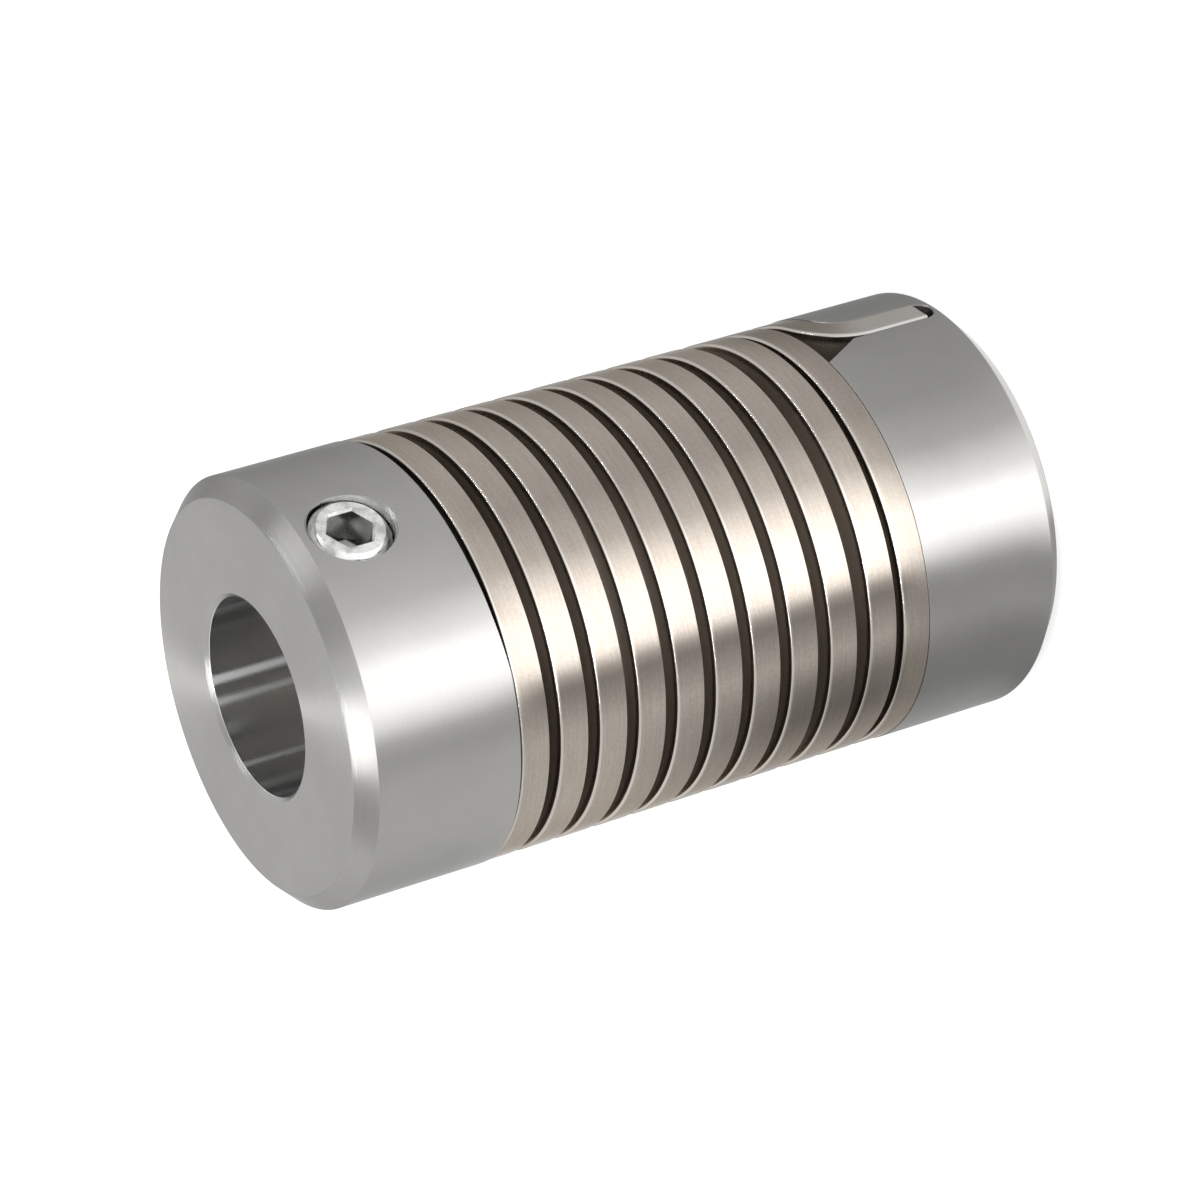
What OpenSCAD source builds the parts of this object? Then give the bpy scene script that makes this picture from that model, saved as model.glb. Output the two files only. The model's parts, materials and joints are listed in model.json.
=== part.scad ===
// Spring coupling: two turned hubs joined by one coil of flat wire.
// It stands on the end face of its lower hub, with the shaft axis along Z.
// The upper hub is the lower one turned over about the Y axis.

/* [Hubs] */
// Outside diameter of both hubs
hub_d = 26; // [22:0.5:36]
// Shaft bore through each hub
bore_d = 12; // [6:0.5:14]
// Length from a hub's end face to the low point of its spring seat
hub_len = 8.1; // [7.5:0.1:14]
// Length of the spigot inside the coil, past the low point of the seat
spigot_len = 5; // [3.5:0.1:7]
// Chamfer round the rim of each end face
rim_chamfer = 1.1; // [0.3:0.1:2]
// Chamfer round the nose of each spigot
spigot_chamfer = 0.5; // [0.1:0.1:1]
// Chamfer at both mouths of each bore
bore_chamfer = 0.25; // [0.1:0.05:0.6]

/* [Spring] */
// Width of the flat wire, along the axis
wire_w = 1.8; // [1.2:0.1:2.6]
// Thickness of the flat wire, outwards from the axis
wire_t = 2.4; // [1.6:0.1:3]
// Bevel along the two outer edges of the wire
wire_bevel = 0.12; // [0.04:0.02:0.4]
// Clear gap between neighbouring turns
turn_gap = 0.8; // [0.4:0.05:1.6]
// Turns of wire from one tang to the other
turns = 11.44; // [6.44:1:15.44]
// Inner radius of the bend between the coil and each tang
bend_inner_r = 2; // [1:0.1:2.6]
// Share of the gap by which one turn near the lower hub has settled
settle_share = 0.42; // [0:0.02:0.7]
// Turns from the lower tang to the middle of the settled turn
settle_at = 1.8; // [1.8:0.1:3]

/* [Fits] */
// Mean gap between the coil and the helical seat of each hub
seat_gap = 0.22; // [0.18:0.02:0.6]
// How far the whole spring sits nearer to the lower hub
spring_drop = 0.15; // [0:0.01:0.16]
// Depth of the spring's outside below the hubs' outside
spring_inset = 0.05; // [0:0.01:0.4]
// Radial clearance of the coil and its tangs over each spigot
spigot_clear = 0.12; // [0.06:0.02:0.4]
// Clearance at each side of the tang in its groove
tang_clear = 0.08; // [0.04:0.02:0.3]
// Free length of groove past the end of each tang
tang_end_gap = 0.75; // [0.3:0.05:1.5]
// Land between the rim chamfer and the end of each groove
groove_land = 0.2; // [0.1:0.1:1]
// Width of the bevel at the mouth of each groove, round the hub
mouth_bevel_w = 1.6; // [0.4:0.1:2.4]
// Height of the bevel at the mouth of each groove, along the axis
mouth_bevel_h = 2.8; // [0.8:0.1:3.6]

/* [Set screws] */
// Outside diameter of the set screws
screw_d = 5; // [3:0.5:6]
// Height of the screw's axis above the hub's end face
screw_z = 4.3; // [4:0.1:5]
// Depth of the screw's outer end below the hub's outside
screw_recess = 0.2; // [0.2:0.05:1]
// Distance from the screw's point to the bore's wall
point_gap = 0.55; // [0.2:0.05:1.5]
// Hexagon socket, across its flats
hex_af = 2.5; // [1.5:0.1:2.6]
// Depth of the hexagon socket
hex_depth = 2.5; // [1.5:0.1:3]
// Radial clearance of the screw in its hole
thread_clear = 0.04; // [0.02:0.01:0.1]
// Countersink round the mouth of the screw hole
screw_sink = 0.2; // [0.1:0.05:0.6]
// Chamfer at the two ends of the screw
screw_chamfer = 0.5; // [0.2:0.1:0.8]
// Diameter of the cup in the screw's point
cup_d = 2.4; // [1:0.1:2.6]

/* [Hidden] */
$fn = 96;
hub_colour = "#b9bcbe";
spring_colour = "#a89f97";
screw_colour = "#c8cacc";

// Steps of the coil in one turn, and of each bend
coil_steps = 48;
bend_steps = 8;
// Overlap of cutting shapes past the faces that they cut
past = 1;

hub_r = hub_d / 2;
bore_r = bore_d / 2;
wire_out_r = hub_r - spring_inset;
wire_in_r = wire_out_r - wire_t;
spigot_r = wire_in_r - spigot_clear;
spigot_top = hub_len + spigot_len;

// The coil's centre line, in the unrolled outer surface of the wire
pitch = wire_w + turn_gap;
bend_r = bend_inner_r + wire_w / 2;
bend_angle = degrees_along(bend_r);
coil_angle = 360 * turns - 2 * bend_angle;
coil_start = hub_len + seat_gap + wire_w / 2;
coupling_len = 2 * coil_start + pitch * coil_angle / 360;

// The middle of the coil faces -Y, so the two tangs mirror each other across that axis
lower_tang_angle = -90 - 180 * turns;

// The groove for a tang
groove_r = wire_w / 2 + tang_clear;
groove_end = rim_chamfer + groove_land;
tang_end = groove_end + tang_end_gap;
flange_top = hub_len + pitch;

// The set screw and its hole
hole_r = screw_d / 2 + thread_clear;
screw_top_r = hub_r - screw_recess;
screw_len = screw_top_r - bore_r - point_gap;

function degrees_along(length) = length / wire_out_r * 180 / PI;
function smooth_hump(t) = abs(t) < 1 ? pow(cos(90 * t), 2) : 0;

// Height of the wire's middle after an angle of coil
function coil_z(angle) = coil_start + pitch * angle / 360
    - settle_share * turn_gap * smooth_hump((angle + bend_angle) / 360 - settle_at);

// A station of the wire: angle from the lower tang, height, and slope of its path
function arc_station(s, z, t, slope) =
    [degrees_along(s + bend_r * cos(t)), z + bend_r * sin(t), slope];
function lower_stations() = [
    [0, tang_end, 90],
    for (i = [0 : bend_steps - 1]) let (t = 90 * i / bend_steps)
        arc_station(bend_r, coil_start - bend_r, 180 - t, 90 - t)
];
function coil_stations() = let (n = ceil(coil_steps * coil_angle / 360)) [
    for (i = [0 : n]) let (angle = coil_angle * i / n) [bend_angle + angle, coil_z(angle), 0]
];
function upper_stations() = let (top = coupling_len - coil_start) [
    for (i = [1 : bend_steps]) let (t = 90 * i / bend_steps, at = arc_station(0, top + bend_r, 270 + t, t))
        [bend_angle + coil_angle + at[0], at[1], at[2]],
    [360 * turns, coupling_len - tang_end, 90]
];

// The wire's section at a station: inner flat side, then the outer side between its bevels
function wire_ring(station) =
    let (
        half = wire_w / 2,
        outline = [
            [-half, wire_in_r], [-half, wire_out_r - wire_bevel], [wire_bevel - half, wire_out_r],
            [half - wire_bevel, wire_out_r], [half, wire_out_r - wire_bevel], [half, wire_in_r]
        ],
        angle = lower_tang_angle + station[0]
    )
    [for (corner = outline) let (side = -corner[0] * sin(station[2])) [
        corner[1] * cos(angle) - side * sin(angle),
        corner[1] * sin(angle) + side * cos(angle),
        station[1] - spring_drop + corner[0] * cos(station[2])
    ]];

// One closed solid through a list of rings of points
module sweep(rings) {
    count = len(rings[0]);
    last = len(rings) - 1;
    points = [for (ring = rings) each ring];
    sides = [for (i = [0 : last - 1], j = [0 : count - 1])
        let (a = i * count + j, b = i * count + (j + 1) % count)
        each [[a, b + count, b], [a, a + count, b + count]]];
    first_cap = [for (j = [0 : count - 1]) j];
    last_cap = [for (j = [count - 1 : -1 : 0]) last * count + j];
    polyhedron(points, concat(sides, [first_cap, last_cap]));
}

module coil_spring() {
    color(spring_colour)
        sweep([for (station = concat(lower_stations(), coil_stations(), upper_stations()))
            wire_ring(station)]);
}

// Everything above the helical seat, from inside the spigot to outside the rim
module seat_cut() {
    seat_steps = 72;
    lap = 2;
    inner_r = (spigot_r + bore_r) / 2;
    outer_r = hub_r + past;
    top = flange_top + past;
    first = bend_angle - lap;
    span = 360 - bend_angle;
    sweep([for (i = [0 : seat_steps])
        let (angle = first + span * i / seat_steps, z = hub_len + pitch * (angle - bend_angle) / 360)
        [for (corner = [[inner_r, z], [inner_r, top], [outer_r, top], [outer_r, z]])
            [corner[0] * cos(angle), corner[0] * sin(angle), corner[1]]]]);
}

// Groove for the tang and its bend, drawn on the plane that faces +X
module groove_outline() {
    top = flange_top + past;
    translate([0, groove_end + groove_r]) circle(groove_r);
    translate([-groove_r, groove_end + groove_r]) square([2 * groove_r, top - groove_end - groove_r]);
    difference() {
        translate([-groove_r, coil_start - bend_r])
            square([groove_r + bend_r, top - coil_start + bend_r]);
        translate([bend_r, coil_start - bend_r]) circle(bend_inner_r - seat_gap);
    }
    polygon([
        [-groove_r, flange_top - mouth_bevel_h],
        [-groove_r, top],
        [-groove_r - mouth_bevel_w, top],
        [-groove_r - mouth_bevel_w, flange_top]
    ]);
}

// The groove goes through the flange, so the spigot's round side is its floor
module groove_cut() {
    rotate([90, 0, 90]) linear_extrude(hub_r + past) groove_outline();
}

module flange() {
    rotate_extrude() polygon([
        [0, 0], [hub_r - rim_chamfer, 0], [hub_r, rim_chamfer], [hub_r, flange_top], [0, flange_top]
    ]);
}

module spigot() {
    rotate_extrude() polygon([
        [0, rim_chamfer], [spigot_r, rim_chamfer], [spigot_r, spigot_top - spigot_chamfer],
        [spigot_r - spigot_chamfer, spigot_top], [0, spigot_top]
    ]);
}

module bore() {
    mouth_r = bore_r + bore_chamfer;
    translate([0, 0, -past]) cylinder(r = bore_r, h = spigot_top + 2 * past);
    translate([0, 0, -past]) cylinder(r1 = mouth_r + past, r2 = bore_r, h = bore_chamfer + past);
    translate([0, 0, spigot_top - bore_chamfer])
        cylinder(r1 = bore_r, r2 = mouth_r + past, h = bore_chamfer + past);
}

// Turns a shape that points up Z so that it points outwards from the screw's place in the hub
module at_screw() {
    translate([0, 0, screw_z]) rotate([0, -90, 0]) children();
}

module screw_hole() {
    at_screw() {
        cylinder(r = hole_r, h = hub_r + past);
        translate([0, 0, hub_r - screw_sink])
            cylinder(r1 = hole_r, r2 = hole_r + screw_sink + past, h = screw_sink + past);
    }
}

// A hub in its own place: end face at Z 0, groove towards +X, screw hole towards -X
module hub() {
    color(hub_colour) difference() {
        union() {
            difference() {
                flange();
                seat_cut();
                groove_cut();
            }
            spigot();
        }
        bore();
        screw_hole();
    }
}

// A hexagon socket set screw with a cup point, in the place that it has in the hub
module set_screw() {
    r = screw_d / 2;
    cup_r = cup_d / 2;
    socket_r = hex_af / sqrt(3);
    color(screw_colour) at_screw() translate([0, 0, screw_top_r - screw_len]) difference() {
        rotate_extrude() polygon([
            [0, 0], [r - screw_chamfer, 0], [r, screw_chamfer],
            [r, screw_len - screw_chamfer], [r - screw_chamfer, screw_len], [0, screw_len]
        ]);
        translate([0, 0, -past]) cylinder(r1 = cup_r + past, r2 = 0, h = cup_r + past);
        translate([0, 0, screw_len - hex_depth])
            cylinder(r = socket_r, h = hex_depth + past, $fn = 6);
    }
}

module in_lower_place() {
    rotate([0, 0, lower_tang_angle]) children();
}

module in_upper_place() {
    translate([0, 0, coupling_len]) rotate([0, 180, 0]) in_lower_place() children();
}

module lower_hub() { in_lower_place() hub(); }
module upper_hub() { in_upper_place() hub(); }
module lower_set_screw() { in_lower_place() set_screw(); }
module upper_set_screw() { in_upper_place() set_screw(); }

lower_hub();
upper_hub();
coil_spring();
lower_set_screw();
upper_set_screw();
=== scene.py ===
import json
import math
import bmesh
import bpy
from mathutils import Matrix, Vector


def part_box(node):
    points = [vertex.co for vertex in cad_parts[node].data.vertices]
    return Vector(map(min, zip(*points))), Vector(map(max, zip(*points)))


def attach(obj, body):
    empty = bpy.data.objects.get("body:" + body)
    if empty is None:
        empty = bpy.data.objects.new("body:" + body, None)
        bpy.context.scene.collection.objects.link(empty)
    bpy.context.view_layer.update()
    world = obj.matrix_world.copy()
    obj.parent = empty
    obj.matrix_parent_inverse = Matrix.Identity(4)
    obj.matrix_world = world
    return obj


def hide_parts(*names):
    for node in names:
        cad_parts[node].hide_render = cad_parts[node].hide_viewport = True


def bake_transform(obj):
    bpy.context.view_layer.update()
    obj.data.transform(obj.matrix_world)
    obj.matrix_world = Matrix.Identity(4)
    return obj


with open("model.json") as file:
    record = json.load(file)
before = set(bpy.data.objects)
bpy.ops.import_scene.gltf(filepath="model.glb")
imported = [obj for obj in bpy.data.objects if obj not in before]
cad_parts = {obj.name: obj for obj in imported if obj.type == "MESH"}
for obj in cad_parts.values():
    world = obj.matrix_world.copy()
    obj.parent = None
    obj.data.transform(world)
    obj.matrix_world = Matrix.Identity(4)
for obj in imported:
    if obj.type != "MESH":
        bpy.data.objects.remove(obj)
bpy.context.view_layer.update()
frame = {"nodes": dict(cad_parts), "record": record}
scene = bpy.context.scene
scene.view_settings.view_transform = "Standard"
mm = 0.001
print("frame loaded:", ", ".join(sorted(frame["nodes"])))

# sizes that the frame gives, in mm
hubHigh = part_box("lower_hub")[1]
hubRadius = hubHigh.x / mm
spigotTop = hubHigh.z / mm
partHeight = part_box("upper_hub")[1].z / mm
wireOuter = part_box("coil_spring")[1].x / mm
mounts = {mount["name"]: mount for mount in frame["record"]["mounts"]}
boreRadius = mounts["upper_bore"]["dims"]["r_mm"]

# the coil, in mm, degrees and turns; it comes first because the hubs' seats follow it
coil = {
    "width": 1.8,          # along the axis
    "thick": 2.4,          # outwards from the axis
    "upperEdge": 0.17,     # rounding of the outer edges
    "lowerEdge": 0.03,
    "innerEdge": 0.12,
    "endShare": 0.7,       # how much of that the cut ends are taken in
    "endRings": 3,
    "edgeHighlight": 0.28,           # how bright the painted highlight on the coil's edge is, beside the tang's
    "tangHighlight": 0.34,       # and the tang's face
    "highlightFade": 6,         # how soon the painted highlight fades along the bend
    "gap": 0.8,            # between neighbouring turns
    "turns": 11.44,        # from tang to tang
    "bendInner": 2.0,
    "seatLow": 8.1,        # low point of a hub's seat
    "seatGap": 0.22,
    "drop": 0.36,          # the spring sits this much nearer to the lower hub
    "lean": 0.16,          # and its turns lean down a little on one side
    "leanAngle": 42.5,
    "tangEnd": 2.4,        # from a hub's end face to the end of the tang
    "tangLift": 0.1,       # how much the tang springs out of its groove
    "tangLean": -0.07,     # and lies nearer to one wall
    "settleShare": 0.5,    # one turn near the lower hub has settled by this share of the gap
    "settleAt": 2.1,
    "freePast": 0.2,       # the free turns start this far past the spigots
    "stepsPerTurn": 120,
    "bendSteps": 20,
    "cornerSteps": 4,
    "sharpAngle": 50,
}
pitch = coil["width"] + coil["gap"]
bendRadius = coil["bendInner"] + coil["width"] / 2
bendAngle = math.degrees(bendRadius / wireOuter)
coilAngle = 360 * coil["turns"] - 2 * bendAngle
coilStart = coil["seatLow"] + coil["seatGap"] + coil["width"] / 2
lowerTangAngle = -90 - 180 * coil["turns"]
wireInner = wireOuter - coil["thick"]

weldDistance = 0.0001      # in mm
faceWeight = 80            # how far large faces lead the smooth shading


def arcPoints(centre, radius, first, last, steps):
    angles = [math.radians(first + (last - first) * i / steps) for i in range(steps + 1)]
    return [(centre[0] + radius * math.cos(a), centre[1] + radius * math.sin(a)) for a in angles]


def onRing(radius, turn, z):
    return (radius * math.cos(turn), radius * math.sin(turn), z)


def roundCorners(corners, steps):
    # each corner is (x, y, radius); a support point on both sides keeps the flats flat
    points = []
    for i, (x, y, radius) in enumerate(corners):
        here = Vector((x, y))
        before = Vector(corners[i - 1][:2]) - here
        after = Vector(corners[(i + 1) % len(corners)][:2]) - here
        before.normalize()
        after.normalize()
        half = before.angle(after) / 2
        reach = radius / math.tan(half)
        middle = (before + after).normalized() * (radius / math.sin(half))
        start = here + before * reach - (here + middle)
        turn = start.angle_signed(here + after * reach - (here + middle))
        points.append(here + before * (reach + radius))
        for k in range(steps + 1):
            points.append(here + middle + Matrix.Rotation(-turn * k / steps, 2) @ start)
        points.append(here + after * (reach + radius))
    return [(p.x, p.y) for p in points]


def levelAt(stops, angle, column=1):
    for a, b in zip(stops, stops[1:]):
        if a[0] <= angle <= b[0]:
            share = (angle - a[0]) / (b[0] - a[0])
            return a[column] + (b[column] - a[column]) * share
    return stops[-1][column]


def newPiece(name, points, faces, place=Matrix.Identity(4)):
    # points are in mm, and the piece lies at the origin of the part's frame
    mesh = bpy.data.meshes.new(name)
    mesh.from_pydata([(place @ Vector(p)) * mm for p in points], [], faces)
    mesh.validate()
    mesh.update()
    for polygon in mesh.polygons:
        polygon.use_smooth = True
    piece = bpy.data.objects.new(name, mesh)
    scene.collection.objects.link(piece)
    return piece


def ringFaces(rings, count, closed=False):
    # quads between rings of count points, one ring after the other
    faces = []
    for i in range(rings if closed else rings - 1):
        following = (i + 1) % rings
        for j in range(count):
            k = (j + 1) % count
            faces.append((i * count + j, following * count + j, following * count + k, i * count + k))
    return faces


def tubeFaces(rings, count):
    # the same with a flat cap on each end
    last = (rings - 1) * count
    return ringFaces(rings, count) + [tuple(range(count)), tuple(reversed(range(last, last + count)))]


def spindleFaces(rings, columns):
    # rings that run from a first point on the axis to a last one
    faces = [tuple(v + 1 for v in reversed(face)) for face in ringFaces(rings, columns)]
    last = 1 + rings * columns
    for i in range(columns):
        k = (i + 1) % columns
        faces.append((0, 1 + k, 1 + i))
        faces.append((last, last - columns + i, last - columns + k))
    return faces


def lathe(outline, columns):
    # an outline of (radius, height) that starts and ends on the axis
    turns = [2 * math.pi * i / columns for i in range(columns)]
    points = [(0, 0, outline[0][1])]
    for r, z in outline[1:-1]:
        points += [onRing(r, turn, z) for turn in turns]
    points.append((0, 0, outline[-1][1]))
    return points, spindleFaces(len(outline) - 2, columns)


def weldPoints(mesh):
    # a cut can leave points on one spot, with a face of no area between them
    shape = bmesh.new()
    shape.from_mesh(mesh)
    bmesh.ops.remove_doubles(shape, verts=shape.verts, dist=weldDistance * mm)
    shape.to_mesh(mesh)
    shape.free()


def cutAway(piece, cutter):
    cut = piece.modifiers.new(cutter.name, "BOOLEAN")
    cut.operation = "DIFFERENCE"
    cut.solver = "EXACT"
    cut.object = cutter


def bakeModifiers(piece, sharpAngle):
    bpy.context.view_layer.update()
    result = piece.evaluated_get(bpy.context.evaluated_depsgraph_get())
    mesh = bpy.data.meshes.new_from_object(result)
    weldPoints(mesh)
    piece.modifiers.clear()
    piece.data = mesh
    for polygon in mesh.polygons:
        polygon.use_smooth = True
    mesh.set_sharp_from_angle(angle=math.radians(sharpAngle))
    weighted = piece.modifiers.new("evenNormals", "WEIGHTED_NORMAL")
    weighted.keep_sharp = True
    weighted.weight = faceWeight


# the upper end is the lower one turned over
upperTurn = Matrix.Translation((0, 0, partHeight)) @ Matrix.Rotation(math.pi, 4, "Y")
lowerPlace = Matrix.Rotation(math.radians(lowerTangAngle), 4, "Z")
upperPlace = upperTurn @ lowerPlace

# the turned hubs, in mm and degrees
hub = {
    "rimChamfer": 1.1,
    "boreChamfer": 0.25,
    "spigotChamfer": 0.5,
    "spigotClear": 0.12,
    "edge": 0.12,          # broken edges
    "fineEdge": 0.06,
    "seatEdge": 0.02,
    "columns": 320,
    "cornerSteps": 3,
    "seamAngle": 1.0,      # where the helical seat steps down, inside the groove
    "seamGap": 0.4,
    "sharpAngle": 32,
    "wallReach": 0.02,     # a bore's own faces lie this close to it
    "wallTilt": 0.1,       # and lean no further than this
    "endReach": 0.01,      # the same for the end faces
}
# how wide the seam between each seat and the coil is, as (degrees from the hub's tang, mm)
lowerSeam = {"turnedOver": False, "widths": ((0, 0.003), (360, 0.003))}
upperSeam = {
    "turnedOver": True,
    "widths": (
        (0, 0.5), (169, 0.48), (199, 0.38), (214, 0.25), (229, 0.06),
        (250, 0.11), (270, 0.09), (290, 0.05), (360, 0.06),
    ),
}
# the groove for the tang
groove = {
    "clear": 0.08,
    "land": 0.2,           # between the rim chamfer and the end of the groove
    "mouthWidth": 1.6,
    "mouthHeight": 2.8,
    "edge": 0.07,
    "arcSteps": 16,
    "past": 0.6,           # how far the cutter stands out of the hub
    "corePast": 1.0,
    "leastStretch": 0.5,   # keeps the bevel short at sharp corners
}
# the threaded hole, opposite the groove
hole = {
    "screwDiameter": 5.0,
    "clear": 0.04,
    "height": 4.3,         # above the hub's end face
    "sink": 0.2,           # depth of the countersink
    "columns": 96,
    "past": 1.0,
}
spigotRadius = wireInner - hub["spigotClear"]
screwTurn = Matrix.Translation((0, 0, hole["height"])) @ Matrix.Rotation(-math.pi / 2, 4, "Y")


def coilHeight(angle):
    # of the wire's middle, at an angle from where the lower bend ends
    away = (angle + bendAngle) / 360 - coil["settleAt"]
    hump = math.cos(math.pi / 2 * away) ** 2 if abs(away) < 1 else 0
    free = min(1, angle / 360, (coilAngle - angle) / 360)
    side = math.cos(math.radians(lowerTangAngle + bendAngle + angle - coil["leanAngle"]))
    sunk = coil["settleShare"] * coil["gap"] * hump + coil["lean"] * free * side
    return coilStart + pitch * angle / 360 - sunk


def seatHeight(seam, angle):
    # above the hub's own end face, at an angle from its tang
    along = max(0, angle - bendAngle)
    if seam["turnedOver"]:
        middle = partHeight - coilHeight(coilAngle - along) + coil["drop"]
    else:
        middle = coilHeight(along) - coil["drop"]
    return middle - coil["width"] / 2 - levelAt(seam["widths"], angle)


def hubRing(seat):
    edge, fine, bore = hub["edge"], hub["fineEdge"], hub["boreChamfer"]
    return roundCorners([
        (boreRadius, bore, fine),
        (boreRadius + bore, 0, fine),
        (hubRadius - hub["rimChamfer"], 0, edge),
        (hubRadius, hub["rimChamfer"], edge),
        (hubRadius, seat, hub["seatEdge"]),
        (spigotRadius, seat, fine),
        (spigotRadius, spigotTop - hub["spigotChamfer"], edge),
        (spigotRadius - hub["spigotChamfer"], spigotTop, edge),
        (boreRadius + bore, spigotTop, fine),
        (boreRadius, spigotTop - bore, fine),
    ], hub["cornerSteps"])


def hubBlank(name, place, seam):
    points = []
    columns, span = hub["columns"], 360 - hub["seamGap"]
    for i in range(columns):
        angle = hub["seamAngle"] + span * i / (columns - 1)
        turn = math.radians(angle)
        points += [onRing(r, turn, z) for r, z in hubRing(seatHeight(seam, angle))]
    count = len(points) // columns
    return newPiece(name, points, ringFaces(columns, count, closed=True), place)


def grooveOutline(seam):
    # (across, height) in the plane that faces the groove, going round anticlockwise
    half = coil["width"] / 2 + groove["clear"]
    low = hub["rimChamfer"] + groove["land"] + half
    mouth = seatHeight(seam, 360)
    top = mouth + groove["past"]
    inner = coil["bendInner"] - coil["seatGap"]
    centre = (bendRadius, seatHeight(seam, bendAngle) - inner)
    reach = math.degrees(math.acos((bendRadius - half) / inner)) if inner > bendRadius - half else 0
    outline = arcPoints((0, low), half, 180, 360, groove["arcSteps"])
    outline += arcPoints(centre, inner, 180 - reach, 90, groove["arcSteps"])
    outline += [(bendRadius, top), (-half - groove["mouthWidth"], top)]
    outline += [(-half - groove["mouthWidth"], mouth), (-half, mouth - groove["mouthHeight"])]
    return outline


def growOutline(outline, amount):
    grown = []
    for i, point in enumerate(outline):
        here = Vector(point)
        before = (here - Vector(outline[i - 1])).normalized()
        after = (Vector(outline[(i + 1) % len(outline)]) - here).normalized()
        normal = Vector((before.y + after.y, -before.x - after.x)).normalized()
        stretch = max(groove["leastStretch"], normal.dot(Vector((before.y, -before.x))))
        grown.append(here + normal * (amount / stretch))
    return grown


def grooveCutter(place, seam):
    edge, past = groove["edge"], groove["past"]
    outline = grooveOutline(seam)
    rings = [[(boreRadius, u, z) for u, z in outline]]
    for radius, grow in ((hubRadius - edge, 0.0), (hubRadius + past, edge + past)):
        rings.append([(math.sqrt(radius ** 2 - u ** 2), u, z) for u, z in growOutline(outline, grow)])
    faces = [tuple(reversed(face)) for face in tubeFaces(len(rings), len(outline))]
    return newPiece("grooveCutter", [p for ring in rings for p in ring], faces, place)


def grooveCore(place):
    # what stays under the tang, so that the groove's floor is round
    radius = wireInner - groove["clear"]
    low, high = -groove["past"], spigotTop + groove["corePast"]
    points, faces = lathe([(0, low), (radius, low), (radius, high), (0, high)], hub["columns"])
    return newPiece("grooveCore", points, faces, place)


def holeCutter(place):
    radius = hole["screwDiameter"] / 2 + hole["clear"]
    low = boreRadius / 2
    top = hubRadius + hole["past"]
    mouth = hubRadius - hole["sink"]
    outline = [(0, low), (radius, low), (radius, mouth), (radius + top - mouth, top), (0, top)]
    points, faces = lathe(outline, hole["columns"])
    return newPiece("holeCutter", points, faces, place @ screwTurn)


def makeHub(name, body, place, seam):
    piece = hubBlank(name, place, seam)
    slot, core, bored = grooveCutter(place, seam), grooveCore(place), holeCutter(place)
    cutAway(slot, core)
    cutAway(piece, slot)
    cutAway(piece, bored)
    bakeModifiers(piece, hub["sharpAngle"])
    for cutter in (slot, core, bored):
        bpy.data.objects.remove(cutter)
    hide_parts(name.replace("Hub", "_hub"))
    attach(piece, body)
    return piece


hubs = [
    makeHub("lowerHub", "lower_end", lowerPlace, lowerSeam),
    makeHub("upperHub", "upper_end", upperPlace, upperSeam),
]
print("hubs turned:", [len(piece.data.polygons) for piece in hubs], "faces")


# the coil of flat wire
def wirePath():
    # stations of (angle from the lower tang, height, slope), in degrees and mm
    steps = coil["bendSteps"]
    path = []
    for i in range(steps):
        t = 90 * i / steps
        s, z = arcPoints((bendRadius, coilStart - bendRadius), bendRadius, 180 - t, 180, 1)[0]
        path.append((math.degrees(s / wireOuter), z, 90 - t))
    count = math.ceil(coil["stepsPerTurn"] * coilAngle / 360)
    for i in range(count + 1):
        angle = coilAngle * i / count
        path.append((bendAngle + angle, coilHeight(angle), 0))
    top = partHeight - coilStart + bendRadius
    for i in range(1, steps + 1):
        t = 90 * i / steps
        s, z = arcPoints((0, top), bendRadius, 270 + t, 360, 1)[0]
        path.append((bendAngle + coilAngle + math.degrees(s / wireOuter), z, t))
    return path


def wireOutline(inset=0.0):
    # (across the wire, radius) round the section
    half = coil["width"] / 2 - inset
    low, high = wireInner + inset, wireOuter - inset
    return roundCorners([
        (-half, low, coil["innerEdge"]), (-half, high, coil["lowerEdge"]),
        (half, high, coil["upperEdge"]), (half, low, coil["innerEdge"]),
    ], coil["cornerSteps"])


def wireRing(station, outline):
    angle, height, slope = station
    turn = math.radians(lowerTangAngle + angle)
    tilt = math.radians(slope)
    out = coil["tangLift"] * math.sin(tilt) ** 2
    lean = coil["tangLean"] * math.sin(tilt) ** 2 * (1 if height < partHeight / 2 else -1)
    ring = []
    for across, radius in outline:
        side = lean - across * math.sin(tilt)
        radius += out
        ring.append((
            radius * math.cos(turn) - side * math.sin(turn),
            radius * math.sin(turn) + side * math.cos(turn),
            height - coil["drop"] + across * math.cos(tilt),
        ))
    return ring


def layWireMap(piece, rings):
    # the map runs along the wire in x and round its section in y, both in mm
    along, around = [0.0], [0.0]
    for i in range(1, len(rings)):
        step = sum((Vector(a) - Vector(b)).length for a, b in zip(rings[i], rings[i - 1]))
        along.append(along[-1] + step / len(rings[i]))
    ring = rings[len(rings) // 2]
    for a, b in zip(ring, ring[1:]):
        around.append(around[-1] + (Vector(a) - Vector(b)).length)
    layer = piece.data.uv_layers.new(name="wireMap")
    for loop in piece.data.loops:
        i, j = divmod(loop.vertex_index, len(ring))
        layer.data[loop.index].uv = (along[i], around[j])


def paintEdgeHighlights(piece, stations, count):
    # painted highlight: the rounded outer edge is coloured bright, most of all on the tangs, and so is
    # their face, standing in for the light these edges reflect
    corner = coil["cornerSteps"] + 3      # points at each corner of the section
    outerFace = range(corner + 1, 2 * corner + 2)
    outerEdge = range(2 * corner + 2, 3 * corner - 2)
    layer = piece.data.attributes.new("paintedHighlight", "FLOAT", "POINT")
    for i, (angle, height, slope) in enumerate(stations):
        upright = math.sin(math.radians(slope)) ** coil["highlightFade"]
        for j in outerFace:
            layer.data[i * count + j].value = coil["tangHighlight"] * upright
        for j in outerEdge:
            layer.data[i * count + j].value = coil["edgeHighlight"] + (1 - coil["edgeHighlight"]) * upright


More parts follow.
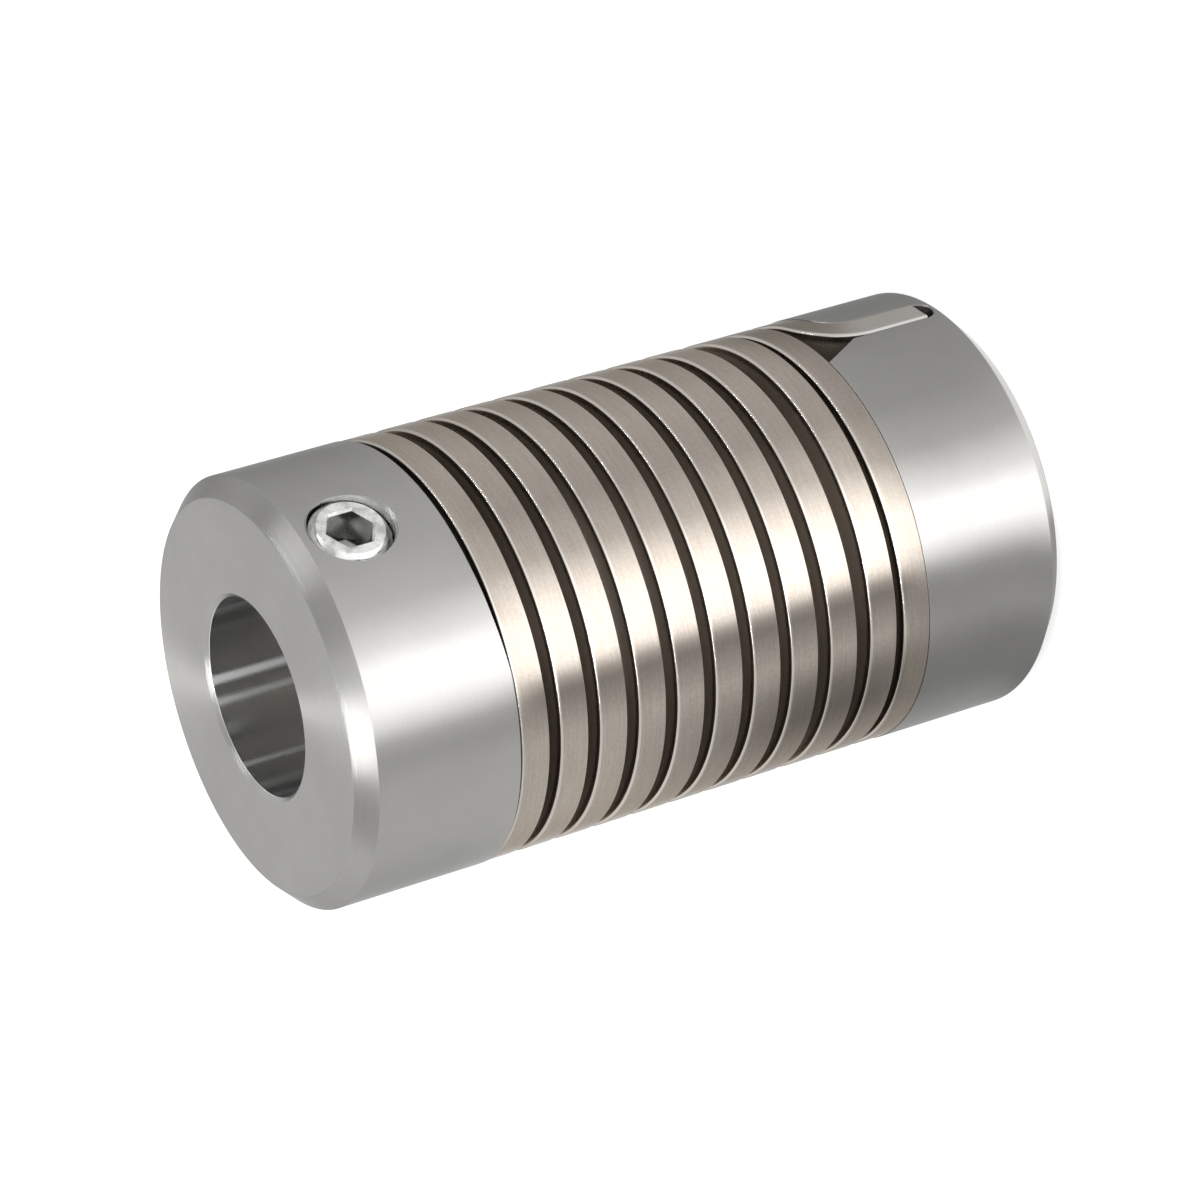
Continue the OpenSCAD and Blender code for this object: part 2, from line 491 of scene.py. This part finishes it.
def makeSpring():
    endEdge = coil["innerEdge"]
    outline = wireOutline()
    small = wireOutline(endEdge * coil["endShare"])
    lower, upper = coil["tangEnd"], partHeight - coil["tangEnd"]
    turned, endRings = 360 * coil["turns"], range(coil["endRings"])
    stations = [(0, lower + i * endEdge, 90) for i in endRings] + wirePath()
    stations += [(turned, upper - i * endEdge, 90) for i in reversed(endRings)]
    rings = [wireRing(station, outline) for station in stations]
    rings[0], rings[-1] = wireRing(stations[0], small), wireRing(stations[-1], small)
    faces = tubeFaces(len(rings), len(outline))
    piece = newPiece("flatWireCoil", [p for ring in rings for p in ring], faces)
    layWireMap(piece, rings)
    paintEdgeHighlights(piece, stations, len(outline))
    piece.data.set_sharp_from_angle(angle=math.radians(coil["sharpAngle"]))
    return piece


spring = makeSpring()
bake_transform(spring)
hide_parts("coil_spring")
print("spring wound:", len(spring.data.polygons), "faces")

# the socket set screws, in mm
setScrew = {
    "recess": 0.2,         # below the hub's outside
    "pointGap": 0.55,      # from the bore to the point
    "threadPitch": 0.8,
    "threadDepth": 0.43,
    "threadSlope": 2.4,    # steepness of the thread's flanks
    "threadRoot": 0.1,     # and how flat its root is
    "crown": 0.5,          # chamfer at both ends
    "socketFlats": 2.5,
    "socketDepth": 2.5,
    "socketLead": 0.14,
    "drillShare": 0.93,    # the drilled bottom, beside the hexagon
    "drillStep": 0.02,
    "drillDepth": 0.7,
    "cupRadius": 1.2,      # and depth, of the cup point
    "columns": 96,
    "threadSteps": 16,
    "sharpAngle": 28,
}


def hexRadius(turn, flats):
    return flats / 2 / math.cos((turn % (math.pi / 3)) - math.pi / 6)


def threadRadius(turn, height, length):
    crest = hole["screwDiameter"] / 2
    phase = (height / setScrew["threadPitch"] - turn / (2 * math.pi)) % 1
    ridge = min(1.0, max(0.0, setScrew["threadSlope"] * abs(phase - 0.5) - setScrew["threadRoot"]))
    thread = crest - setScrew["threadDepth"] * (1 - ridge)
    ends = crest - setScrew["crown"] + min(height, length - height)
    return min(thread, ends)


def makeScrew(name, body, place):
    columns = setScrew["columns"]
    base = boreRadius + setScrew["pointGap"]
    length = hubRadius - setScrew["recess"] - base
    turns = [2 * math.pi * i / columns for i in range(columns)]
    rings = [[(setScrew["cupRadius"], 0.0)] * columns]
    steps = math.ceil(length / setScrew["threadPitch"] * setScrew["threadSteps"])
    for k in range(steps + 1):
        height = length * k / steps
        rings.append([(threadRadius(t, height, length), height) for t in turns])
    lead, depth = setScrew["socketLead"], length - setScrew["socketDepth"]
    socket = [hexRadius(t, setScrew["socketFlats"]) for t in turns]
    rings.append([(r + lead, length) for r in socket])
    rings.append([(r, length - lead) for r in socket])
    rings.append([(r, depth) for r in socket])
    rings.append([(r * setScrew["drillShare"], depth - setScrew["drillStep"]) for r in socket])
    points = [(0, 0, base + setScrew["cupRadius"])]
    for ring in rings:
        points += [onRing(r, t, base + z) for (r, z), t in zip(ring, turns)]
    points.append((0, 0, base + depth - setScrew["drillDepth"]))
    piece = newPiece(name, points, spindleFaces(len(rings), columns), place @ screwTurn)
    piece.data.set_sharp_from_angle(angle=math.radians(setScrew["sharpAngle"]))
    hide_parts(name.replace("SetScrew", "_set_screw"))
    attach(piece, body)
    return piece


screws = [
    makeScrew("lowerSetScrew", "lower_end", lowerPlace),
    makeScrew("upperSetScrew", "upper_end", upperPlace),
]
print("set screws cut:", [len(piece.data.polygons) for piece in screws], "faces")


# materials
def addNode(tree, kind, inputs=None, **settings):
    # sockets go by name, or by number where a node has several of one name
    node = tree.nodes.new("ShaderNode" + kind)
    for key, value in settings.items():
        setattr(node, key, value)
    for key, value in (inputs or {}).items():
        if isinstance(value, bpy.types.NodeSocket):
            tree.links.new(value, node.inputs[key])
        else:
            node.inputs[key].default_value = value
    return node


def reckon(tree, operation, *values):
    return addNode(tree, "Math", dict(enumerate(values)), operation=operation).outputs[0]


def mapRange(tree, value, low, high, first=0.0, last=1.0, **settings):
    inputs = {0: value, 1: low, 2: high, 3: first, 4: last}
    return addNode(tree, "MapRange", inputs, **settings).outputs[0]


def mixValues(tree, share, first, second):
    return addNode(tree, "Mix", {0: share, 2: first, 3: second}).outputs[0]


def mixColours(tree, share, first, second):
    return addNode(tree, "Mix", {0: share, 6: first, 7: second}, data_type="RGBA").outputs[2]


def noiseAt(tree, spot, scale, detail, rough):
    inputs = {"Vector": spot, "Scale": scale, "Detail": detail, "Roughness": rough}
    return addNode(tree, "TexNoise", inputs).outputs["Fac"]


def axisDistance(tree, parts):
    flat = addNode(tree, "CombineXYZ", {"X": parts.outputs["X"], "Y": parts.outputs["Y"]})
    return addNode(tree, "VectorMath", {0: flat.outputs[0]}, operation="LENGTH").outputs["Value"]


def newMetal(name, constants):
    material = bpy.data.materials.new(name)
    material.use_nodes = True
    tree = material.node_tree
    shader = tree.nodes["Principled BSDF"]
    shader.inputs["Metallic"].default_value = 1.0
    for key, value in constants.items():
        shader.inputs[key].default_value = value
    return material, tree, shader


def feedShader(tree, shader, sources):
    for key, source in sources.items():
        tree.links.new(source, shader.inputs[key])


# aluminium as it comes off the lathe, and its finish on the end faces and in the bores; the bores get a
# paler colour, which is painted light standing in for light reaching into them
turnedSide = {
    "colour": (0.39, 0.385, 0.372, 1),
    "darkColour": (0.345, 0.34, 0.328, 1),
    "edgeTint": (0.6, 0.6, 0.6, 1),
    "roughLow": 0.26,
    "roughHigh": 0.36,
    "streak": 0.8,         # anisotropy of the turned lay
    "streakTurn": 0.25,
    "feed": 9.0,           # turning marks in each mm
    "markHeight": 0.0006,  # in mm
    "markBump": 0.25,
    "markDetail": 2.0,
    "markRange": (0.3, 0.7),
    "markRise": 1.37,      # how fast the marks go by along the axis, beside across it
    "cloudScale": 420.0,
    "cloudDetail": 4.0,
    "noiseRough": 0.6,
    "scuffs": (),
}
facedEnd = dict(turnedSide, roughLow=0.22, roughHigh=0.28, streak=0.97)
reamedBoreAndPaintedLight = dict(
    turnedSide,
    # painted light: far paler than the same aluminium outside, as if the bore were lit inside
    colour=(0.85, 0.855, 0.85, 1),
    darkColour=(0.75, 0.755, 0.75, 1),
    edgeTint=(0.9, 0.9, 0.9, 1),
    roughLow=0.16,
    roughHigh=0.24,
    streak=0.3,
    # scuffs along the axis, left by shafts: degrees round it, half width in degrees, strength
    scuffs=((116.5, 4.5, 1.0), (129, 4.5, 0.55), (169, 3.5, 0.45)),
    scuffRough=0.8,
)


def turnedAluminium(name, turned):
    material, tree, shader = newMetal(name, {
        "Anisotropic": turned["streak"],
        "Anisotropic Rotation": turned["streakTurn"],
        "Specular Tint": turned["edgeTint"],
    })
    spot = addNode(tree, "TexCoord").outputs["Object"]
    parts = addNode(tree, "SeparateXYZ", {0: spot})
    # the lay follows the tool: rings on the faces, rings along the cylinder
    lay = reckon(tree, "MULTIPLY_ADD", parts.outputs["Z"], turned["markRise"], axisDistance(tree, parts))
    marks = addNode(tree, "TexNoise", {
        "W": lay,
        "Scale": turned["feed"] / mm,
        "Detail": turned["markDetail"],
        "Roughness": turned["noiseRough"],
    }, noise_dimensions="1D").outputs["Fac"]
    cloud = noiseAt(tree, spot, turned["cloudScale"], turned["cloudDetail"], turned["noiseRough"])
    rough = mapRange(tree, marks, *turned["markRange"], turned["roughLow"], turned["roughHigh"])
    for angle, half, strength in turned["scuffs"]:
        turn = reckon(tree, "ARCTAN2", parts.outputs["Y"], parts.outputs["X"])
        away = reckon(tree, "ABSOLUTE", reckon(tree, "SUBTRACT", turn, math.radians(angle)))
        scuff = mapRange(tree, away, math.radians(half), 0.0, 0.0, strength,
                         interpolation_type="SMOOTHSTEP")
        rough = mixValues(tree, scuff, rough, turned["scuffRough"])
    bump = {"Strength": turned["markBump"], "Distance": turned["markHeight"] * mm, "Height": marks}
    feedShader(tree, shader, {
        "Base Color": mixColours(tree, cloud, turned["darkColour"], turned["colour"]),
        "Roughness": rough,
        "Normal": addNode(tree, "Bump", bump).outputs[0],
        "Tangent": addNode(tree, "Tangent", direction_type="RADIAL", axis="Z").outputs[0],
    })
    return material


nickel = {
    "colour": (0.415, 0.372, 0.33, 1),
    "darkColour": (0.345, 0.303, 0.262, 1),
    "edgeTint": (0.55, 0.53, 0.5, 1),
    "roughLow": 0.15,
    "roughHigh": 0.24,
    "roughRange": (0.35, 0.65),
    "toneRange": (0.36, 0.64),
    # painted shade: the sides of the turns are coloured darker, as the shade in the gaps between them
    "sideShadeColour": (0.45, 0.39, 0.335, 1),
    "sideRough": 0.5,
    "sideDepths": (0.3, 0.6),     # the sides of the turns, in mm below the outside, where the painted shade and more roughness go
    "innerColour": (0.6, 0.6, 0.59, 1),
    "innerDepths": (0.3, 0.1),    # and their inner face, in mm above the inside
    # painted highlight: the colour laid on the rounded outer edges and the tangs
    "paintedHighlightColour": (0.92, 0.92, 0.9, 1),
    "grainAlong": 0.35,    # grain of the drawn wire, in each mm along it
    "grainAcross": 7.0,
    "grainScale": 1.0,
    "grainRough": 0.6,
    "grainHeight": 0.002,  # in mm
    "grainBump": 0.3,
    "speckScale": 5200.0,
    "speckRough": 0.65,
    "speckShare": 0.5,
    "noiseDetail": 3.0,
}


def nickelWire():
    material, tree, shader = newMetal("nickelWire", {"Specular Tint": nickel["edgeTint"]})
    wireMap = addNode(tree, "UVMap", uv_map="wireMap").outputs[0]
    stretch = (nickel["grainAlong"], nickel["grainAcross"], 1)
    drawn = addNode(tree, "Mapping", {"Vector": wireMap, "Scale": stretch}).outputs[0]
    grain = noiseAt(tree, drawn, nickel["grainScale"], nickel["noiseDetail"], nickel["grainRough"])
    spot = addNode(tree, "TexCoord").outputs["Object"]
    speck = noiseAt(tree, spot, nickel["speckScale"], nickel["noiseDetail"], nickel["speckRough"])
    both = mixValues(tree, nickel["speckShare"], grain, speck)
    radius = axisDistance(tree, addNode(tree, "SeparateXYZ", {0: spot}))
    # the sides of the turns get painted shade in their colour, and more roughness
    side = mapRange(tree, radius, *[(wireOuter - depth) * mm for depth in nickel["sideDepths"]])
    inner = mapRange(tree, radius, *[(wireInner + depth) * mm for depth in nickel["innerDepths"]])
    # painted highlight on the rounded edges and tangs, read from a point attribute
    paintedHighlight = addNode(tree, "Attribute", attribute_name="paintedHighlight").outputs["Fac"]
    share = mapRange(tree, both, *nickel["toneRange"])
    tone = mixColours(tree, share, nickel["darkColour"], nickel["colour"])
    tone = mixColours(tree, side, tone, nickel["sideShadeColour"])
    tone = mixColours(tree, inner, tone, nickel["innerColour"])
    rough = mapRange(tree, both, *nickel["roughRange"], nickel["roughHigh"], nickel["roughLow"])
    bump = {"Strength": nickel["grainBump"], "Distance": nickel["grainHeight"] * mm, "Height": both}
    feedShader(tree, shader, {
        "Base Color": mixColours(tree, paintedHighlight, tone, nickel["paintedHighlightColour"]),
        "Roughness": mixValues(tree, side, rough, nickel["sideRough"]),
        "Normal": addNode(tree, "Bump", bump).outputs[0],
    })
    return material


plated = {
    "colour": (0.84, 0.84, 0.83, 1),
    "darkColour": (0.5, 0.5, 0.49, 1),
    "toneRange": (0.35, 0.6),
    "socketShadeColour": (0.45, 0.45, 0.44, 1),
    "socketDepths": (0.15, 0.5),  # where the painted shade begins and is full, in mm below the crown
    "roughLow": 0.12,
    "roughHigh": 0.3,
    "roughRange": (0.3, 0.7),
    "speckScale": 1100.0,
    "speckDetail": 4.0,
    "speckRough": 0.6,
}


def platedScrew():
    material, tree, shader = newMetal("platedScrew", {})
    spot = addNode(tree, "TexCoord").outputs["Object"]
    speck = noiseAt(tree, spot, plated["speckScale"], plated["speckDetail"], plated["speckRough"])
    share = mapRange(tree, speck, *plated["toneRange"])
    tone = mixColours(tree, share, plated["darkColour"], plated["colour"])
    radius = axisDistance(tree, addNode(tree, "SeparateXYZ", {0: spot}))
    # painted shade: the hex socket is coloured darker, as the shade in the recess
    crown = (hubRadius - setScrew["recess"]) * mm
    socket = mapRange(tree, radius, *[crown - depth * mm for depth in plated["socketDepths"]])
    feedShader(tree, shader, {
        "Base Color": mixColours(tree, socket, tone, plated["socketShadeColour"]),
        "Roughness": mapRange(tree, speck, *plated["roughRange"], plated["roughLow"], plated["roughHigh"]),
    })
    return material


def setMaterials(pieces, *metals):
    for piece in pieces:
        piece.data.materials.clear()
        for metal in metals:
            piece.data.materials.append(metal)


def layHubMetals(piece, place):
    # the bore and the wall of the screw hole get the bore metal, whose pale colour is painted light
    side, bore, end = range(len(piece.data.materials))
    toHole = (place @ screwTurn).inverted()
    holeReach = hole["screwDiameter"] / 2 + hole["clear"] + hub["wallReach"]
    for polygon in piece.data.polygons:
        inBore = polygon.center.xy.length < (boreRadius + hub["wallReach"]) * mm
        spot = toHole @ (polygon.center / mm)
        upright = abs((toHole.to_3x3() @ polygon.normal).z) < hub["wallTilt"]
        inHole = upright and spot.z > 0 and spot.xy.length < holeReach
        depth = min(polygon.center.z, partHeight * mm - polygon.center.z)
        atEnd = depth < hub["endReach"] * mm
        polygon.material_index = bore if inBore or inHole else end if atEnd else side


hubMetal = turnedAluminium("turnedAluminium", turnedSide)
boreMetalWithPaintedLight = turnedAluminium("reamedBoreAndPaintedLight", reamedBoreAndPaintedLight)
endMetal = turnedAluminium("facedEnd", facedEnd)
wireMetal, screwMetal = nickelWire(), platedScrew()
setMaterials([frame["nodes"][n] for n in ("lower_hub", "upper_hub")], hubMetal)
setMaterials(hubs, hubMetal, boreMetalWithPaintedLight, endMetal)
for piece, place in zip(hubs, (lowerPlace, upperPlace)):
    layHubMetals(piece, place)
setMaterials([spring], wireMetal)
setMaterials(screws + [frame["nodes"][n] for n in ("lower_set_screw", "upper_set_screw")], screwMetal)
print("metals laid on")

# floor, room and light tent
studio = {
    "floorSize": 2.0,
    "floorColour": (0.8, 0.8, 0.8, 1),
    "floorGlow": 0.66,     # with the lit floor it makes white, for the rays that show it
    "roomLevel": 0.45,     # for the rays that light the floor
    "shownLevel": 1.0,
}


def shownRays(tree):
    # 1 for camera, glossy and transmission rays
    ray = addNode(tree, "LightPath")
    total = ray.outputs["Is Camera Ray"]
    for kind in ("Is Glossy Ray", "Is Transmission Ray"):
        total = reckon(tree, "MAXIMUM", total, ray.outputs[kind])
    return total


def emptyTree(owner):
    owner.use_nodes = True
    owner.node_tree.nodes.clear()
    return owner.node_tree


def makeFloor():
    half = studio["floorSize"] / 2
    corners = [(-half, -half, 0), (half, -half, 0), (half, half, 0), (-half, half, 0)]
    mesh = bpy.data.meshes.new("floor")
    mesh.from_pydata(corners, [], [(0, 1, 2, 3)])
    floor = bpy.data.objects.new("floor", mesh)
    scene.collection.objects.link(floor)
    material = bpy.data.materials.new("paleFloor")
    tree = emptyTree(material)
    glow = reckon(tree, "MULTIPLY", shownRays(tree), studio["floorGlow"])
    white = addNode(tree, "Emission", {"Strength": glow})
    matt = addNode(tree, "BsdfDiffuse", {"Color": studio["floorColour"]})
    both = addNode(tree, "AddShader", {0: white.outputs[0], 1: matt.outputs[0]})
    addNode(tree, "OutputMaterial", {"Surface": both.outputs[0]})
    mesh.materials.append(material)


def makeRoom():
    scene.world = bpy.data.worlds.new("paleRoom")
    tree = emptyTree(scene.world)
    level = mapRange(tree, shownRays(tree), 0.0, 1.0, studio["roomLevel"], studio["shownLevel"])
    room = addNode(tree, "Background", {"Color": (1, 1, 1, 1), "Strength": level})
    addNode(tree, "OutputWorld", {"Surface": room.outputs[0]})


# a light tent round the part, in mm, which only its metal mirrors: white, with a bright strip in front
tent = {
    "reach": 18.0,
    "columns": 180,
    "floorGap": 0.02,
    "clothInner": 0.25,    # the cloth on the floor starts this far outside the hub
    "heights": (0.3, 7.0, 9.5, 15.0, 29.0, 33.5, 36.0, 50.0),
    "columnOfHeight": (1, 1, 2, 2, 3, 3, 4, 4),
    # (degrees round the axis, then the level at the lower hub, low coil, high coil and upper hub)
    "stops": (
        (-180, 1.0, 1.1, 1.3, 1.1), (-150, 0.95, 1.05, 1.25, 1.05), (-140, 0.8, 0.8, 1.2, 1.0),
        (-124, 0.52, 0.42, 1.1, 1.0), (-116, 0.5, 0.32, 1.05, 1.0), (-103, 0.52, 0.42, 1.0, 0.98),
        (-90, 0.72, 0.95, 1.0, 0.93), (-80, 0.64, 0.65, 0.65, 0.76), (-74, 0.75, 0.45, 0.47, 1.0),
        (-70, 1.2, 0.8, 0.9, 1.8), (-65, 2.1, 3.0, 3.0, 2.6), (-60, 2.9, 3.4, 3.2, 3.0),
        (-50, 3.0, 3.4, 3.2, 3.0), (-44, 2.1, 3.0, 2.8, 2.1), (-30, 1.05, 1.4, 1.2, 1.25),
        (-12, 0.75, 0.88, 0.82, 1.0), (2, 0.72, 0.88, 0.88, 0.9), (15, 0.7, 0.92, 0.92, 0.82),
        (30, 0.64, 0.88, 0.88, 0.78), (46, 0.62, 0.88, 0.88, 0.74), (63, 0.6, 0.85, 0.85, 0.7),
        (90, 0.9, 0.9, 0.9, 0.9), (112, 1.8, 1.8, 1.8, 1.8), (135, 1.8, 1.8, 1.8, 1.8),
        (150, 1.1, 1.1, 1.2, 1.1), (180, 1.0, 1.1, 1.3, 1.1),
    ),
    # a ring on the floor, under the rim chamfer
    "ringReach": 11.95,
    "ringOuter": 0.2,      # past the hub
    "ringStops": ((-180, 1.0), (-75, 0.9), (-64, 0.9), (-55, 2.3), (10, 2.3), (60, 1.0), (180, 1.0)),
    # a pale hood above, which the rim chamfer and the end face mirror
    "hoodFirst": -150,
    "hoodLast": 178,
    "hoodReach": 26.0,
    "hoodHeight": 100.0,
    "hoodStops": (
        (-150, 1.05), (-126, 1.05), (-116, 0.6), (-104, 0.6), (-96, 1.0), (-44, 1.05), (-32, 0.64),
        (-12, 0.62), (14, 0.6), (30, 0.6), (40, 0.75), (76, 0.75), (86, 1.18), (178, 1.18),
    ),
}


def tentRows():
    # (reach, height, stops, column of the stops), from under the part outwards and up
    low = tent["floorGap"]
    rows = [(tent["ringReach"], low, tent["ringStops"], 1)]
    rows += [(hubRadius + tent["ringOuter"], low, tent["ringStops"], 1)]
    rows += [(hubRadius + tent["clothInner"], low, tent["stops"], 1)]
    for z, column in zip(tent["heights"], tent["columnOfHeight"]):
        rows.append((tent["reach"], z, tent["stops"], column))
    return rows


def makeTent():
    columns, rows = tent["columns"], tentRows()
    angles = [-180 + 360 * i / columns for i in range(columns)]
    points, levels = [], []
    for reach, z, stops, column in rows:
        points += [onRing(reach, math.radians(angle), z) for angle in angles]
        levels += [levelAt(stops, angle, column) for angle in angles]
    faces = ringFaces(len(rows), columns)
    hoodAngles = [a for a in angles if tent["hoodFirst"] <= a <= tent["hoodLast"]]
    first, span = len(points), len(hoodAngles)
    for reach, z in ((tent["reach"], tent["heights"][-1]), (tent["hoodReach"], tent["hoodHeight"])):
        points += [onRing(reach, math.radians(angle), z) for angle in hoodAngles]
        levels += [levelAt(tent["hoodStops"], angle) for angle in hoodAngles]
    for i in range(first, first + span - 1):
        faces.append((i, i + 1, i + span + 1, i + span))
    cloth = newPiece("lightTent", points, faces)
    cloth.visible_camera = cloth.visible_diffuse = cloth.visible_shadow = False
    layer = cloth.data.attributes.new("level", "FLOAT", "POINT")
    layer.data.foreach_set("value", levels)
    material = bpy.data.materials.new("litCloth")
    tree = emptyTree(material)
    level = addNode(tree, "Attribute", attribute_name="level")
    glow = addNode(tree, "Emission", {"Strength": level.outputs["Fac"]})
    addNode(tree, "OutputMaterial", {"Surface": glow.outputs[0]})
    cloth.data.materials.append(material)


# lamps as (name, azimuth, elevation, distance, size, power), in degrees, metres and watts
lamps = (
    ("frontSoftbox", -95, 58, 0.30, 0.14, 0.22),
    ("backSoftbox", 141, 58, 0.45, 0.03, 0.09),
    ("sideSoftbox", 34, 46, 0.30, 0.15, 0.075),
)


def wayTo(azimuth, elevation):
    turn, lift = math.radians(azimuth), math.radians(elevation)
    return Vector((math.cos(turn) * math.cos(lift), math.sin(turn) * math.cos(lift), math.sin(lift)))


def addLamp(name, azimuth, elevation, distance, size, power):
    light = bpy.data.lights.new(name, "AREA")
    light.size = size
    light.energy = power
    light.cycles.use_multiple_importance_sampling = False
    lamp = bpy.data.objects.new(name, light)
    way = wayTo(azimuth, elevation)
    target = Vector((0, 0, partHeight / 2 * mm))
    lamp.location = target + way * distance
    lamp.rotation_euler = way.to_track_quat("Z", "Y").to_euler()
    lamp.visible_camera = False
    scene.collection.objects.link(lamp)


makeFloor()
makeRoom()
makeTent()
for lamp in lamps:
    addLamp(*lamp)
print("studio lit:", len(lamps), "lamps")

# camera, in degrees and metres, its lens and sensor in mm
view = {
    "azimuth": -47.47,
    "elevation": 26.61,
    "roll": -106.44,
    "distance": 0.3187,
    "aim": (-0.00038, 0.00009, 0.02467),
    "lens": 160.57,
    "sensor": 36.0,
    "clipStart": 0.01,
}


def makeCamera():
    camera = bpy.data.cameras.new("photoView")
    camera.lens = view["lens"]
    camera.sensor_width = view["sensor"]
    camera.clip_start = view["clipStart"]
    holder = bpy.data.objects.new("photoView", camera)
    way = wayTo(view["azimuth"], view["elevation"])
    upright = way.to_track_quat("Z", "Y").to_matrix().to_4x4()
    place = Matrix.Translation(Vector(view["aim"]) + way * view["distance"])
    holder.matrix_world = place @ upright @ Matrix.Rotation(math.radians(view["roll"]), 4, "Z")
    scene.collection.objects.link(holder)
    scene.camera = holder


makeCamera()
print("camera set up")

bpy.context.view_layer.update()
